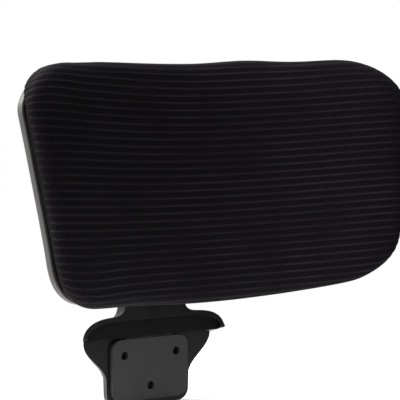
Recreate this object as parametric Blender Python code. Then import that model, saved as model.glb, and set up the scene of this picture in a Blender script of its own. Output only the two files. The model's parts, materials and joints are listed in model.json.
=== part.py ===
"""Chair headrest attachment: a padded, mesh-covered headrest that tilts on a friction hinge,
on a carriage that slides on a neck post. The post's foot bolts behind a chair's top rail.

World frame: metres, +Z up, the pad faces -Y, and the origin is on the foot's front face.
Pad frame: x across the pad, y up along its face, z out of its face.
"""

import math

import bmesh
import bpy
from mathutils import Vector

MM = 0.001
GAP = 0.3 * MM  # what touching pieces keep between them

# Pad: a tray-shaped shell with a board, foam and fabric, all bent round a hyperbola.
PAD_HEIGHT = 165 * MM
HALF_TOP = 175.5 * MM
HALF_BOTTOM = 146 * MM
TOP_CROWN = 7 * MM
BOTTOM_CROWN = 10 * MM
SIDE_PINCH = 0.019
WRAP_SLOPE = 0.768
WRAP_RADIUS = 154 * MM
TOP_CORNER = (55 * MM, 41 * MM, 0.67)  # run along the top, run down the side, fullness
BOTTOM_CORNER = (33 * MM, 29 * MM, 0.95)
COLUMNS = 20  # columns of the pad's surface on each side of the middle

PAD_THICKNESS = 16 * MM
EDGE_RADIUS = PAD_THICKNESS / 2
FABRIC = 1.2 * MM
SHELL_DEPTH = 5 * MM
SHELL_WALL = 2.8 * MM
RIM_WALL = 3 * MM
BOARD_FRONT = 0.6 * MM
TUCK = 4.5 * MM  # how far the shell draws in under the pad's top edge
TUCK_START, TUCK_RUN = 45 * MM, 23 * MM
LOW_TUCK = 2 * MM  # and under its bottom edge
LOW_START, LOW_RUN = 66 * MM, 18 * MM
STRIP_WIDTH = 5 * MM
STRIP_THICKNESS = 1.2 * MM

# Joints.
TILT_AXIS = Vector((0, -30 * MM, 154 * MM))
RECLINE = math.radians(9.4)
PAD_ORIGIN = (0, -6 * MM, 35 * MM)  # the pad's origin from the tilt axis, in the pad's directions
TRAVEL = 45 * MM
NOTCH_PITCH = 9 * MM

# Neck post and carriage.
POST_HALF_WIDTH = 22 * MM
POST_FRONT, POST_BACK = -6 * MM, 4 * MM
POST_TOP = 205 * MM
FOOT_HALF_WIDTH, FOOT_HALF_HEIGHT, FOOT_THICKNESS = 35 * MM, 25 * MM, 8 * MM
FOOT_HOLES = ((-24 * MM, 12 * MM), (24 * MM, 12 * MM), (0, -14 * MM))
SLEEVE_HALF_WIDTH = 31 * MM
SLEEVE_LOW, SLEEVE_HIGH = 124 * MM, 180 * MM
SLEEVE_FRONT, SLEEVE_BACK = -12.3 * MM, 12 * MM
SLEEVE_SPLIT = -1 * MM
GLIDE = 1.2 * MM
LUG_HALF_WIDTH = 14.5 * MM
KNUCKLE = 9 * MM

# Tilt hinge, each length measured across from the middle.
PIN_RADIUS = 4 * MM
BUSH_RADIUS = 5.6 * MM
EAR_INNER, EAR_OUTER = 17.1 * MM, 19.4 * MM
BRACKET_FACE = -9.3 * MM  # the bracket's plate in the pad frame, and its mid height
BRACKET_WALL = 2.3 * MM
BRACKET_MID = -PAD_ORIGIN[1]

# Covers of the neck. The rear one is drafted, steeply above the rail and hardly at the foot.
COVER_WALL = 1.8 * MM
COVER_TOP = 84  # in millimetres, as all of their outlines
COVER_FRONT = POST_FRONT - 2.3 * MM
SWEEP_IN, SWEEP_DOWN = 7, 4.8
LOW_DRAFT, HIGH_DRAFT = 0.06, 0.66
DRAFT_LOW, DRAFT_HIGH = 6, 28


# ---------------------------------------------------------------- outlines


def arc(centre, radius, start, end, steps):
    """Points on an arc, from one angle in degrees to another."""
    angles = [math.radians(start + (end - start) * k / steps) for k in range(steps + 1)]
    return [(centre[0] + radius * math.cos(a), centre[1] + radius * math.sin(a)) for a in angles]


def rounded_box(left, right, low, high, radius, steps=3):
    """A rectangle with round corners, counterclockwise."""
    corners = (
        ((right - radius, low + radius), -90),
        ((right - radius, high - radius), 0),
        ((left + radius, high - radius), 90),
        ((left + radius, low + radius), 180),
    )
    return [p for centre, start in corners for p in arc(centre, radius, start, start + 90, steps)]


def bezier(p0, p1, p2, p3, steps):
    """Points on a cubic curve, without its last one."""
    found = []
    for k in range(steps):
        t = k / steps
        weights = ((1 - t) ** 3, 3 * t * (1 - t) ** 2, 3 * t * t * (1 - t), t**3)
        found.append(tuple(sum(w * p[i] for w, p in zip(weights, (p0, p1, p2, p3))) for i in (0, 1)))
    return found


def mirrored(right_side):
    """A closed outline from its right side, listed from top to bottom."""
    return right_side + [(-x, y) for x, y in reversed(right_side)]


def scaled(points):
    """Millimetre points in metres."""
    return [(x * MM, y * MM) for x, y in points]


# ---------------------------------------------------------------- solids


def material(name, colour, roughness, metallic):
    made = bpy.data.materials.new(name)
    made.use_nodes = True
    shader = made.node_tree.nodes["Principled BSDF"]
    shader.inputs["Base Color"].default_value = (*colour, 1)
    shader.inputs["Roughness"].default_value = roughness
    shader.inputs["Metallic"].default_value = metallic
    return made


FINISHES = {
    "fabric": ((0.012, 0.011, 0.013), 0.9, 0.0),
    "foam": ((0.05, 0.05, 0.055), 0.95, 0.0),
    "grey_plastic": ((0.16, 0.155, 0.15), 0.45, 0.0),
    "dark_plastic": ((0.02, 0.02, 0.021), 0.4, 0.0),
    "board": ((0.03, 0.03, 0.03), 0.6, 0.0),
    "acetal": ((0.6, 0.6, 0.57), 0.4, 0.0),
    "zinc_steel": ((0.55, 0.55, 0.56), 0.35, 1.0),
    "spring_steel": ((0.4, 0.4, 0.42), 0.3, 1.0),
    "black_steel": ((0.03, 0.03, 0.032), 0.4, 0.6),
}


def place(name, mesh, finish, parent):
    """Puts a closed mesh in the scene as a piece, with its faces turned out."""
    data = bpy.data.meshes.new(name)
    bmesh.ops.recalc_face_normals(mesh, faces=mesh.faces)
    mesh.to_mesh(data)
    mesh.free()
    data.shade_smooth()
    data.set_sharp_from_angle(angle=math.radians(35))
    piece = bpy.data.objects.new(name, data)
    bpy.context.scene.collection.objects.link(piece)
    piece.parent = parent
    if finish:
        data.materials.append(material(name, *FINISHES[finish]))
    return piece


def prism_mesh(outline, low, high, along, far=None):
    """A closed prism: an outline in the two other axes, in their order, run from low to high,
    where it may end in another outline with as many points."""
    order = {"X": (2, 0, 1), "Y": (0, 2, 1), "Z": (0, 1, 2)}[along]
    mesh = bmesh.new()
    rings = []
    for level, shape in ((low, outline), (high, far or outline)):
        points = [(a, b, level) for a, b in shape]
        rings.append([mesh.verts.new([p[i] for i in order]) for p in points])
    mesh.faces.new(rings[0])
    mesh.faces.new(rings[1])
    for k, corner in enumerate(rings[0]):
        after = (k + 1) % len(outline)
        mesh.faces.new((corner, rings[0][after], rings[1][after], rings[1][k]))
    return mesh


def prism(name, outline, low, high, along, finish, parent, far=None):
    return place(name, prism_mesh(outline, low, high, along, far), finish, parent)


def turned(name, profile, centre, along, finish, parent, sides=24):
    """A turned piece: (radius, place along the axis) points, closed on the axis where radius is 0."""
    order = {"X": (2, 0, 1), "Y": (0, 2, 1), "Z": (0, 1, 2)}[along]
    mesh = bmesh.new()
    rings = []
    for radius, level in profile:
        count = sides if radius else 1
        ring = []
        for k in range(count):
            angle = 2 * math.pi * k / sides
            p = (radius * math.cos(angle), radius * math.sin(angle), level)
            ring.append(mesh.verts.new(Vector([p[i] for i in order]) + Vector(centre)))
        rings.append(ring)
    closed = profile[0][0] > 0
    pairs = zip(rings, rings[1:] + rings[:1]) if closed else zip(rings, rings[1:])
    for one, two in pairs:
        for k in range(sides):
            after = (k + 1) % sides
            corners = {one[k % len(one)]: 0, one[after % len(one)]: 0}
            corners.update({two[after % len(two)]: 0, two[k % len(two)]: 0})
            mesh.faces.new(list(corners))
    return place(name, mesh, finish, parent)


def ring(name, inner, outer, low, high, centre, along, finish, parent, sides=24):
    """A plain tube or washer."""
    profile = [(inner, low), (outer, low), (outer, high), (inner, high)]
    return turned(name, profile, centre, along, finish, parent, sides)


def combine(piece, tool, operation):
    """A Boolean that stays on the piece; its tool is hidden."""
    tool.hide_render = True
    tool.display_type = "WIRE"
    boolean = piece.modifiers.new(operation.title(), "BOOLEAN")
    boolean.operation = operation
    boolean.solver = "EXACT"
    boolean.object = tool


def cut(piece, *tools):
    for tool in tools:
        combine(piece, tool, "DIFFERENCE")


def join(piece, *tools):
    for tool in tools:
        combine(piece, tool, "UNION")


def rod(name, radius, low, high, centre, along, parent, sides=24):
    """A solid cylinder, used to cut holes."""
    profile = [(0, low), (radius, low), (radius, high), (0, high)]
    return turned(name, profile, centre, along, None, parent, sides)


def screw(name, centre, under_head, tip, along, parent, shank=1.5 * MM, head=2.6 * MM, height=1.6 * MM):
    """A pan-head screw with a round socket: from under its head to its tip along an axis."""
    out = height if under_head > tip else -height
    socket = 0.45 * head
    top = under_head + out
    profile = [
        (0, top - 0.55 * out),
        (socket, top - 0.55 * out),
        (socket, top),
        (0.8 * head, top),
        (head, top - 0.4 * out),
        (head, under_head),
        (shank, under_head),
        (shank, tip),
        (0, tip),
    ]
    return turned(name, profile, centre, along, "black_steel", parent, 12)


# ---------------------------------------------------------------- pad surface


def corner_curve(start, corner, end, fullness, steps=24):
    """A conic that leaves start towards corner and arrives at end."""
    found = []
    for k in range(steps + 1):
        t = k / steps
        a, b, c = (1 - t) ** 2, 2 * t * (1 - t) * fullness, t * t
        found.append(tuple((a * s + b * m + c * e) / (a + b + c) for s, m, e in zip(start, corner, end)))
    return found


def bowed(x, y):
    """The outline's gentle bow: crowned top and bottom, sides pinched at mid height."""
    share = min(1, max(0, y / PAD_HEIGHT + 0.5))
    y += TOP_CROWN * (1 - (x / HALF_TOP) ** 2) * share**2
    y -= BOTTOM_CROWN * (1 - (x / HALF_BOTTOM) ** 2) * (1 - share) ** 2
    return x * (1 - SIDE_PINCH * 4 * share * (1 - share)), y


def half_outline():
    """The right half of the pad's outline, from the top's middle to the bottom's middle."""
    half = PAD_HEIGHT / 2
    top, bottom = Vector((HALF_TOP, half)), Vector((HALF_BOTTOM, -half))
    side = (bottom - top).normalized()
    run, drop, fullness = TOP_CORNER
    points = corner_curve(top - Vector((run, 0)), top, top + side * drop, fullness)
    run, rise, fullness = BOTTOM_CORNER
    points += corner_curve(bottom - side * rise, bottom, bottom - Vector((run, 0)), fullness)
    across = [k / 12 for k in range(12)]
    first, last = points[0], points[-1]
    points = [(first[0] * s, half) for s in across] + points
    points += [(last[0] * s, -half) for s in reversed(across)]
    return [bowed(x, y) for x, y in points]


def height_at(branch, x):
    """The height of one branch of the outline at x."""
    for (x0, y0), (x1, y1) in zip(branch, branch[1:]):
        if min(x0, x1) <= x <= max(x0, x1) and x0 != x1:
            return y0 + (y1 - y0) * (x - x0) / (x1 - x0)
    return branch[-1][1]


def pad_columns():
    """The outline as pairs of a top and a bottom point on columns across the pad."""
    points = half_outline()
    widest = max(range(len(points)), key=lambda k: points[k][0])
    upper, lower = points[: widest + 1], points[widest:]
    end = points[widest]
    columns = []
    for k in range(COLUMNS):
        x = end[0] * math.sin(math.pi / 2 * k / COLUMNS)
        columns.append((x, height_at(upper, x), height_at(lower, x)))
    left = [(-x, a, b) for x, a, b in reversed(columns[1:])]
    return end, left + columns


def pad_loop():
    """The outline's points in order: along the top to the right, and back along the bottom."""
    end, columns = pad_columns()
    top = [(x, a) for x, a, _ in columns]
    bottom = [(x, b) for x, _, b in reversed(columns)]
    return top + [end] + bottom + [(-end[0], end[1])]


def tuck_at(y):
    """How far in the shell's edge is at a height of the pad: none at the sides, most along the top."""
    high = min(1, max(0, (y - TUCK_START) / TUCK_RUN))
    low = min(1, max(0, (-y - LOW_START) / LOW_RUN))
    return TUCK * high * high * (3 - 2 * high) + LOW_TUCK * low * low * (3 - 2 * low)


def moved_in(loop, inset, tucked):
    """The outline moved inwards, point by point, square to itself."""
    found = []
    for k, (x, y) in enumerate(loop):
        before, after = Vector(loop[k - 1]), Vector(loop[(k + 1) % len(loop)])
        along = (after - before).normalized()
        step = inset + tuck_at(y) if tucked else inset
        found.append((x + along.y * step, y - along.x * step))
    return found


def lifted(x, y, out):
    """A point of the pad's flat pattern, bent round the head and moved out of the face."""
    root = math.hypot(x, WRAP_RADIUS)
    slope = WRAP_SLOPE * x / root
    unit = math.hypot(1, slope)
    return (x - out * slope / unit, y, WRAP_SLOPE * (root - WRAP_RADIUS) + out / unit)


def pad_solid(name, profile, finish, parent, capped=True, tucked=False):
    """A solid from rings of the outline. profile holds (inset, out) from one ring to the next."""
    loop = pad_loop()
    count = len(loop)
    mesh = bmesh.new()
    rings = []
    for inset, out in profile:
        rings.append([mesh.verts.new(lifted(x, y, out)) for x, y in moved_in(loop, inset, tucked)])
    pairs = list(zip(rings, rings[1:]))
    if not capped:
        pairs.append((rings[-1], rings[0]))
    for one, two in pairs:
        for k in range(count):
            after = (k + 1) % count
            mesh.faces.new((one[k], one[after], two[after], two[k]))
    for face_ring in (rings[0], rings[-1]) if capped else ():
        for k in range(count // 2 - 1):
            top, bottom = face_ring[k : k + 2], (face_ring[count - 2 - k], face_ring[count - 3 - k])
            if k == count // 2 - 2:
                mesh.faces.new((top[0], top[1], bottom[0]))
            else:
                mesh.faces.new((top[0], top[1], bottom[1], bottom[0]))
        mesh.faces.new((face_ring[-1], face_ring[0], face_ring[count - 2]))
    return place(name, mesh, finish, parent)


def roll(radius, start, end, steps):
    """(inset, out) points round the pad's soft edge, between two angles in degrees."""
    middle = (EDGE_RADIUS, EDGE_RADIUS)
    return [(2 * middle[0] - a, b) for a, b in arc(middle, radius, start, end, steps)]


# ---------------------------------------------------------------- head


def make_pad(parent):
    fabric_edge = -55
    outer = roll(EDGE_RADIUS, 90, fabric_edge, 8)
    inner = roll(EDGE_RADIUS - FABRIC, fabric_edge, 90, 6)
    pad_solid("mesh_cover", outer + inner, "fabric", parent)

    foam_radius = EDGE_RADIUS - FABRIC - GAP
    strip_low = BOARD_FRONT + GAP
    strip_high = strip_low + STRIP_THICKNESS
    strip_inset = 6.2 * MM
    foam = roll(foam_radius, 90, -50, 6)
    foam += [
        (strip_inset - 0.6 * MM, strip_high + GAP),
        (strip_inset + STRIP_WIDTH + GAP, strip_high + GAP),
        (strip_inset + STRIP_WIDTH + GAP, strip_low),
    ]
    pad_solid("foam_pad", foam, "foam", parent)
    strip = [
        (strip_inset, strip_low),
        (strip_inset, strip_high),
        (strip_inset + STRIP_WIDTH, strip_high),
        (strip_inset + STRIP_WIDTH, strip_low),
    ]
    pad_solid("hem_strip", strip, "board", parent, capped=False)


def make_shell(parent):
    edge = 2 * MM
    back = [(edge - a, edge - SHELL_DEPTH - b) for b, a in arc((0, 0), edge, 0, 90, 3)]
    front = [(0, 0), (RIM_WALL, 0), (RIM_WALL, SHELL_WALL - SHELL_DEPTH)]
    shell = pad_solid("rear_shell", back + front, "grey_plastic", parent, tucked=True)
    board_edge = RIM_WALL + 2 * GAP
    board_back = SHELL_WALL - SHELL_DEPTH + GAP
    faces = [(board_edge, BOARD_FRONT), (board_edge, board_back)]
    board = pad_solid("pad_board", faces, "board", parent, tucked=True)

    low, high = BRACKET_MID - 20 * MM, BRACKET_MID + 20 * MM
    boss = rounded_box(-28 * MM, 28 * MM, low, high, 5 * MM)
    join(shell, prism("boss_tool", boss, BRACKET_FACE + GAP, -3 * MM, "Z", None, parent))

    for k, (x, y) in enumerate(shell_screw_places()):
        foot = Vector(lifted(x, y, -SHELL_DEPTH))
        normal = (Vector(lifted(x, y, 0)) - foot).normalized()
        holder = empty(f"shell_screw_axis_{k + 1}", foot, parent)
        holder.rotation_mode = "QUATERNION"
        holder.rotation_quaternion = Vector((0, 0, 1)).rotation_difference(normal)
        cut(shell, rod(f"shell_hole_tool_{k + 1}", 1.8 * MM, -1 * MM, 4 * MM, (0, 0, 0), "Z", holder, 12))
        cut(shell, rod(f"shell_recess_tool_{k + 1}", 3.4 * MM, -1 * MM, 1.3 * MM, (0, 0, 0), "Z", holder, 16))
        cut(board, rod(f"board_hole_tool_{k + 1}", 1.8 * MM, 2 * MM, 7 * MM, (0, 0, 0), "Z", holder, 12))
        seat = 1.3 * MM - GAP
        screw(f"shell_screw_{k + 1}", (0, 0, 0), seat, 5.4 * MM, "Z", holder, height=0.9 * MM, head=3 * MM)

    for k, (x, y) in enumerate(bracket_screw_places()):
        cut(shell, rod(f"boss_hole_tool_{k + 1}", 2.3 * MM, -12 * MM, -3.4 * MM, (x, y, 0), "Z", parent, 12))


def shell_screw_places():
    """Four near the corners and two at the ends of the pad's middle line."""
    corners = [(sx * x, y) for x, y in ((132 * MM, 52 * MM), (112 * MM, -55 * MM)) for sx in (-1, 1)]
    return corners + [(-62 * MM, 0), (62 * MM, 0)]


def bracket_screw_places():
    return [(sx * 11 * MM, BRACKET_MID + sy * 13 * MM) for sx in (-1, 1) for sy in (-1, 1)]


def make_bracket(parent):
    """The steel bracket on the pad, with an ear on each side of the carriage's knuckle."""
    back = BRACKET_FACE - BRACKET_WALL
    plate = rounded_box(-24 * MM, 24 * MM, BRACKET_MID - 18 * MM, BRACKET_MID + 18 * MM, 4 * MM)
    bracket = prism("hinge_bracket", plate, back, BRACKET_FACE, "Z", "black_steel", parent)
    axis = (BRACKET_MID, -PAD_ORIGIN[2])
    ear = [(axis[0] + 15 * MM, BRACKET_FACE - 0.5 * MM), (axis[0] - 15 * MM, BRACKET_FACE - 0.5 * MM)]
    ear += arc(axis, KNUCKLE, 200, 340, 8)
    for side in (-1, 1):
        low, high = sorted((side * EAR_INNER, side * EAR_OUTER))
        join(bracket, prism(f"ear_tool_{side + 1}", ear, low, high, "X", None, parent))
    cut(bracket, rod("pin_hole_tool", PIN_RADIUS + GAP, -30 * MM, 30 * MM, (0, *axis), "X", parent))
    for k, (x, y) in enumerate(bracket_screw_places()):
        centre, ends = (x, y, 0), (back - MM, BRACKET_FACE + MM)
        cut(bracket, rod(f"bracket_hole_tool_{k + 1}", 2.3 * MM, *ends, centre, "Z", parent, 12))
        size = {"shank": 2 * MM, "head": 3.6 * MM, "height": 2.2 * MM}
        screw(f"bracket_screw_{k + 1}", centre, back - GAP, -3.8 * MM, "Z", parent, **size)

    centre, head_end = (0, *axis), EAR_OUTER + GAP
    profile = [
        (0, -head_end - 2.8 * MM),
        (6 * MM, -head_end - 2.8 * MM),
        (7 * MM, -head_end - 2 * MM),
        (7 * MM, -head_end),
        (PIN_RADIUS, -head_end),
        (PIN_RADIUS, head_end + 6.5 * MM),
        (0, head_end + 6.5 * MM),
    ]
    turned("hinge_pin", profile, centre, "X", "zinc_steel", parent)
    nut = arc((0, 0), 7.5 * MM, 0, 300, 5)
    nut = [(axis[0] + a, axis[1] + b) for a, b in nut]
    lock_nut = prism("lock_nut", nut, head_end, head_end + 5 * MM, "X", "zinc_steel", parent)
    cut(lock_nut, rod("nut_hole_tool", PIN_RADIUS + GAP, 0, 40 * MM, centre, "X", parent))
    for side, word in ((-1, "left"), (1, "right")):
        ends = sorted((side * (EAR_INNER - 1.1 * MM), side * (EAR_INNER - GAP)))
        name, bore = f"friction_washer_{word}", PIN_RADIUS + GAP
        ring(name, bore, 8 * MM, *ends, centre, "X", "spring_steel", parent)


# ---------------------------------------------------------------- carriage


def make_carriage(parent):
    """Two half shells round the post, with the hinge's knuckle on the front one."""
    wall = POST_HALF_WIDTH + GLIDE + 3 * GAP
    inner_front = POST_FRONT - GLIDE - 2 * GAP
    round_edge = 4 * MM
    front = arc((-SLEEVE_HALF_WIDTH + round_edge, SLEEVE_FRONT + round_edge), round_edge, 180, 270, 4)
    front += arc((SLEEVE_HALF_WIDTH - round_edge, SLEEVE_FRONT + round_edge), round_edge, 270, 360, 4)
    front += [(SLEEVE_HALF_WIDTH, SLEEVE_SPLIT), (wall, SLEEVE_SPLIT), (wall, inner_front)]
    front += [(-wall, inner_front), (-wall, SLEEVE_SPLIT), (-SLEEVE_HALF_WIDTH, SLEEVE_SPLIT)]
    half = prism("carriage_front", front, SLEEVE_LOW, SLEEVE_HIGH, "Z", "dark_plastic", parent)

    axis = (TILT_AXIS.y, TILT_AXIS.z)
    lug = arc(axis, KNUCKLE, 100, 260, 10)
    lug += [(inner_front - MM, axis[1] - 17 * MM), (inner_front - MM, axis[1] + 17 * MM)]
    join(half, prism("lug_tool", lug, -LUG_HALF_WIDTH, LUG_HALF_WIDTH, "X", None, parent))
    centre = (0, *axis)
    cut(half, rod("lug_bore_tool", BUSH_RADIUS + GAP, -20 * MM, 20 * MM, centre, "X", parent))
    for side, word in ((-1, "left"), (1, "right")):
        end = LUG_HALF_WIDTH + GAP
        profile = [
            (PIN_RADIUS + GAP, side * (end + 0.9 * MM)),
            (8 * MM, side * (end + 0.9 * MM)),
            (8 * MM, side * end),
            (BUSH_RADIUS, side * end),
            (BUSH_RADIUS, side * 3 * MM),
            (PIN_RADIUS + GAP, side * 3 * MM),
        ]
        turned(f"hinge_bush_{word}", profile, centre, "X", "acetal", parent)

    stop_place = (0, 0, SLEEVE_LOW + 7 * MM)
    cut(half, rod("stop_hole_tool", 3 * MM + GAP, -20 * MM, 0, stop_place, "Y", parent, 16))
    under_head = SLEEVE_FRONT - GAP
    screw("stop_pin", stop_place, under_head, POST_FRONT + 2.9 * MM, "Y", parent, 3 * MM, 4.6 * MM, 2 * MM)

    rear_inner = POST_BACK + GLIDE + 2 * GAP
    rear = [(-wall, rear_inner), (wall, rear_inner), (wall, SLEEVE_SPLIT + GAP)]
    rear += [(SLEEVE_HALF_WIDTH, SLEEVE_SPLIT + GAP)]
    rear += arc((SLEEVE_HALF_WIDTH - round_edge, SLEEVE_BACK - round_edge), round_edge, 0, 90, 4)
    rear += arc((-SLEEVE_HALF_WIDTH + round_edge, SLEEVE_BACK - round_edge), round_edge, 90, 180, 4)
    rear += [(-SLEEVE_HALF_WIDTH, SLEEVE_SPLIT + GAP), (-wall, SLEEVE_SPLIT + GAP)]
    shell = prism("carriage_rear", rear, SLEEVE_LOW, SLEEVE_HIGH, "Z", "dark_plastic", parent)
    make_detent(shell, parent)

    for k, (x, z) in enumerate(((-26.6, 7), (26.6, 7), (-26.6, 49), (26.6, 49))):
        place_at = (x * MM, 0, SLEEVE_LOW + z * MM)
        seat = SLEEVE_BACK - 2.4 * MM
        bore, recess = 1.8 * MM, 2.9 * MM
        cut(shell, rod(f"sleeve_bore_tool_{k}", bore, -8 * MM, 20 * MM, place_at, "Y", parent, 12))
        cut(shell, rod(f"sleeve_recess_tool_{k}", recess, seat, 20 * MM, place_at, "Y", parent, 16))
        cut(half, rod(f"sleeve_thread_tool_{k}", bore, -9 * MM, 8 * MM, place_at, "Y", parent, 12))
        screw(f"carriage_screw_{k + 1}", place_at, seat + GAP, -8 * MM, "Y", parent)

    make_glides(parent)


def make_glides(parent):
    """Two U-shaped liners that run on the post's edges."""
    for side, word in ((-1, "left"), (1, "right")):
        near, far = POST_HALF_WIDTH + GAP, POST_HALF_WIDTH + GAP + GLIDE
        leg = POST_HALF_WIDTH - 8 * MM
        front, back = POST_FRONT - GAP, POST_BACK + GAP
        outline = [
            (leg, front - GLIDE),
            (far, front - GLIDE),
            (far, back + GLIDE),
            (leg, back + GLIDE),
            (leg, back),
            (near, back),
            (near, front),
            (leg, front),
        ]
        outline = [(side * x, y) for x, y in outline]
        low, high = SLEEVE_LOW + 3 * MM, SLEEVE_HIGH - 3 * MM
        prism(f"glide_{word}", outline, low, high, "Z", "acetal", parent)


def make_detent(shell, parent):
    """A leaf spring in the rear shell, whose nose rests in a notch of the rack."""
    half, middle, end = 6 * MM, TILT_AXIS.z - 2 * MM, 21 * MM
    face = POST_BACK + 2.1 * MM
    thick = 0.8 * MM
    pad = rounded_box(-half - MM, half + MM, middle - end - MM, middle + end + MM, MM)
    cut(shell, prism("leaf_pocket_tool", pad, 0, face + thick + GAP, "Y", None, parent))
    swing = rounded_box(-half - MM, half + MM, middle - 12 * MM, middle + 12 * MM, MM)
    cut(shell, prism("leaf_swing_tool", swing, 0, face + thick + 2.2 * MM, "Y", None, parent))
    nose = POST_BACK - 0.9 * MM
    front = [(face, -end), (face, -6), (nose, -1), (nose, 1), (face, 6), (face, end)]
    front = [(y, middle + (z if abs(z) < 1 else z * MM)) for y, z in front]
    back = [(y + thick, z) for y, z in reversed(front)]
    leaf = prism("detent_leaf", front + back, -half, half, "X", "spring_steel", parent)
    for k, side in enumerate((-1, 1)):
        place_at = (0, 0, middle + side * (end - 4 * MM))
        cut(leaf, rod(f"leaf_hole_tool_{k}", 1.6 * MM, 0, 12 * MM, place_at, "Y", parent, 12))
        cut(shell, rod(f"leaf_thread_tool_{k}", 1.6 * MM, 0, 10.6 * MM, place_at, "Y", parent, 12))
        size = {"shank": 1.3 * MM, "head": 2.6 * MM, "height": 1 * MM}
        screw(f"leaf_screw_{k + 1}", place_at, face - GAP, 10.2 * MM, "Y", parent, **size)


# ---------------------------------------------------------------- base


def flared_side(top):
    """The right side of the neck's covers in millimetres: a straight neck that flares to a wing."""
    neck = [(27.8, top - 3), (27.8, 57)]
    shoulder = arc((24.8, top - 3), 3, 90, 30, 2)
    wing = bezier((27.8, 54), (27.8, 48.6), (31, 45.9), (38, 45.4), 6)
    wing += bezier((38, 45.4), (49, 44.8), (62, 43.4), (66, 31), 6)
    return shoulder + neck + wing + [(66, 29)]


def swept_back(side):
    """The covers' right side behind the front edge: the wing drops and draws in towards the rail."""
    found = []
    for x, z in side:
        flare = min(1, max(0, (53 - z) / 8))
        found.append((x - SWEEP_IN * flare * min(1, max(0, (x - 29) / 30)), z - SWEEP_DOWN * flare))
    return found


def recess_side(drop):
    """The right side of the hollow under the wing, in millimetres."""
    curve = bezier((34, 45.4 - drop), (46, 44.9 - drop), (59, 43.3 - drop), (62.4, 30), 5)
    return [(24, 45.6 - drop), *curve, (62.4, 20)]


def make_neck(parent):
    """The load-bearing moulding: foot, neck and post, seen from the side as one outline."""
    side = [
        (POST_FRONT, POST_TOP),
        (POST_FRONT, 50 * MM),
        (0.8 * MM, 40 * MM),
        (0.8 * MM, -20 * MM),
        (FOOT_THICKNESS, -20 * MM),
        (FOOT_THICKNESS, 30 * MM),
        (POST_BACK, 42 * MM),
        (POST_BACK, POST_TOP),
    ]
    width = POST_HALF_WIDTH
    frame = prism("neck_frame", side, -width, width, "X", "dark_plastic", parent)
    foot = rounded_box(-FOOT_HALF_WIDTH, FOOT_HALF_WIDTH, -FOOT_HALF_HEIGHT, FOOT_HALF_HEIGHT, 8 * MM)
    join(frame, prism("foot_tool", foot, 0, FOOT_THICKNESS, "Y", None, parent))
    for k, (x, z) in enumerate(FOOT_HOLES):
        cut(frame, rod(f"foot_hole_tool_{k}", 3.3 * MM, -5 * MM, 20 * MM, (x, 0, z), "Y", parent, 20))
        cut(frame, rod(f"foot_recess_tool_{k}", 6.6 * MM, 4.5 * MM, 20 * MM, (x, 0, z), "Y", parent, 20))

    stop_low = SLEEVE_LOW + 7 * MM - 3.4 * MM
    groove = rounded_box(-3.4 * MM, 3.4 * MM, stop_low, stop_low + TRAVEL + 6.8 * MM, 3.2 * MM)
    cut(frame, prism("stop_groove_tool", groove, -10 * MM, POST_FRONT + 3.2 * MM, "Y", None, parent))
    make_rack(frame, parent)

    plug = rounded_box(-16 * MM, 16 * MM, -3.5 * MM, 0, MM)
    room = rounded_box(-16.3 * MM, 16.3 * MM, -3.8 * MM, 0.3 * MM, MM)
    cut(frame, prism("cap_pocket_tool", room, POST_TOP - 7 * MM, POST_TOP + 5 * MM, "Z", None, parent))
    cap = rounded_box(-POST_HALF_WIDTH, POST_HALF_WIDTH, POST_FRONT, POST_BACK, 2 * MM)
    top = prism("post_cap", cap, POST_TOP + GAP, POST_TOP + 2.6 * MM, "Z", "dark_plastic", parent)
    join(top, prism("cap_plug_tool", plug, POST_TOP - 6.5 * MM, POST_TOP + MM, "Z", None, parent))
    return frame


def make_rack(frame, parent):
    """The notched strip in the post's back, which the leaf's nose drops into."""
    half, depth = 7 * MM, 2.2 * MM
    nose = TILT_AXIS.z - 2 * MM
    low, high = nose - 20 * MM, nose + TRAVEL + 4 * MM
    face, back = POST_BACK, POST_BACK - depth
    outline = [(back, low), (face, low)]
    for k in range(round(TRAVEL / NOTCH_PITCH) + 1):
        z = nose + k * NOTCH_PITCH
        outline += [(face, z - 3.2 * MM), (face - 1.3 * MM, z - 1.4 * MM)]
        outline += [(face - 1.3 * MM, z + 1.4 * MM), (face, z + 3.2 * MM)]
    outline += [(face, high), (back, high)]
    rack = prism("rack_strip", outline, -half, half, "X", "acetal", parent)
    room = rounded_box(-half - GAP, half + GAP, low - GAP, high + GAP, 0.2 * MM, 1)
    cut(frame, prism("rack_room_tool", room, back - GAP, 10 * MM, "Y", None, parent))
    for k, z in enumerate((low + 4 * MM, low + 12 * MM)):
        cut(rack, rod(f"rack_hole_tool_{k}", 1.6 * MM, 0, 6 * MM, (0, 0, z), "Y", parent, 12))
        cut(rack, rod(f"rack_sink_tool_{k}", 2.6 * MM, face - MM, 6 * MM, (0, 0, z), "Y", parent, 12))
        cut(frame, rod(f"rack_thread_tool_{k}", 1.6 * MM, -3 * MM, 6 * MM, (0, 0, z), "Y", parent, 12))
        size = {"shank": 1.3 * MM, "head": 2.3 * MM, "height": 0.7 * MM}
        screw(f"rack_screw_{k + 1}", (0, 0, z), face - MM + GAP / 2, -2.6 * MM, "Y", parent, **size)


def drawn_in(side, depth):
    """The rear cover's right side, in millimetres, at a depth behind the front cover."""
    found = []
    for x, z in side:
        share = min(1, max(0, (z - DRAFT_LOW) / (DRAFT_HIGH - DRAFT_LOW)))
        found.append((x - depth * (LOW_DRAFT + (HIGH_DRAFT - LOW_DRAFT) * share), z))
    return found


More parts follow.
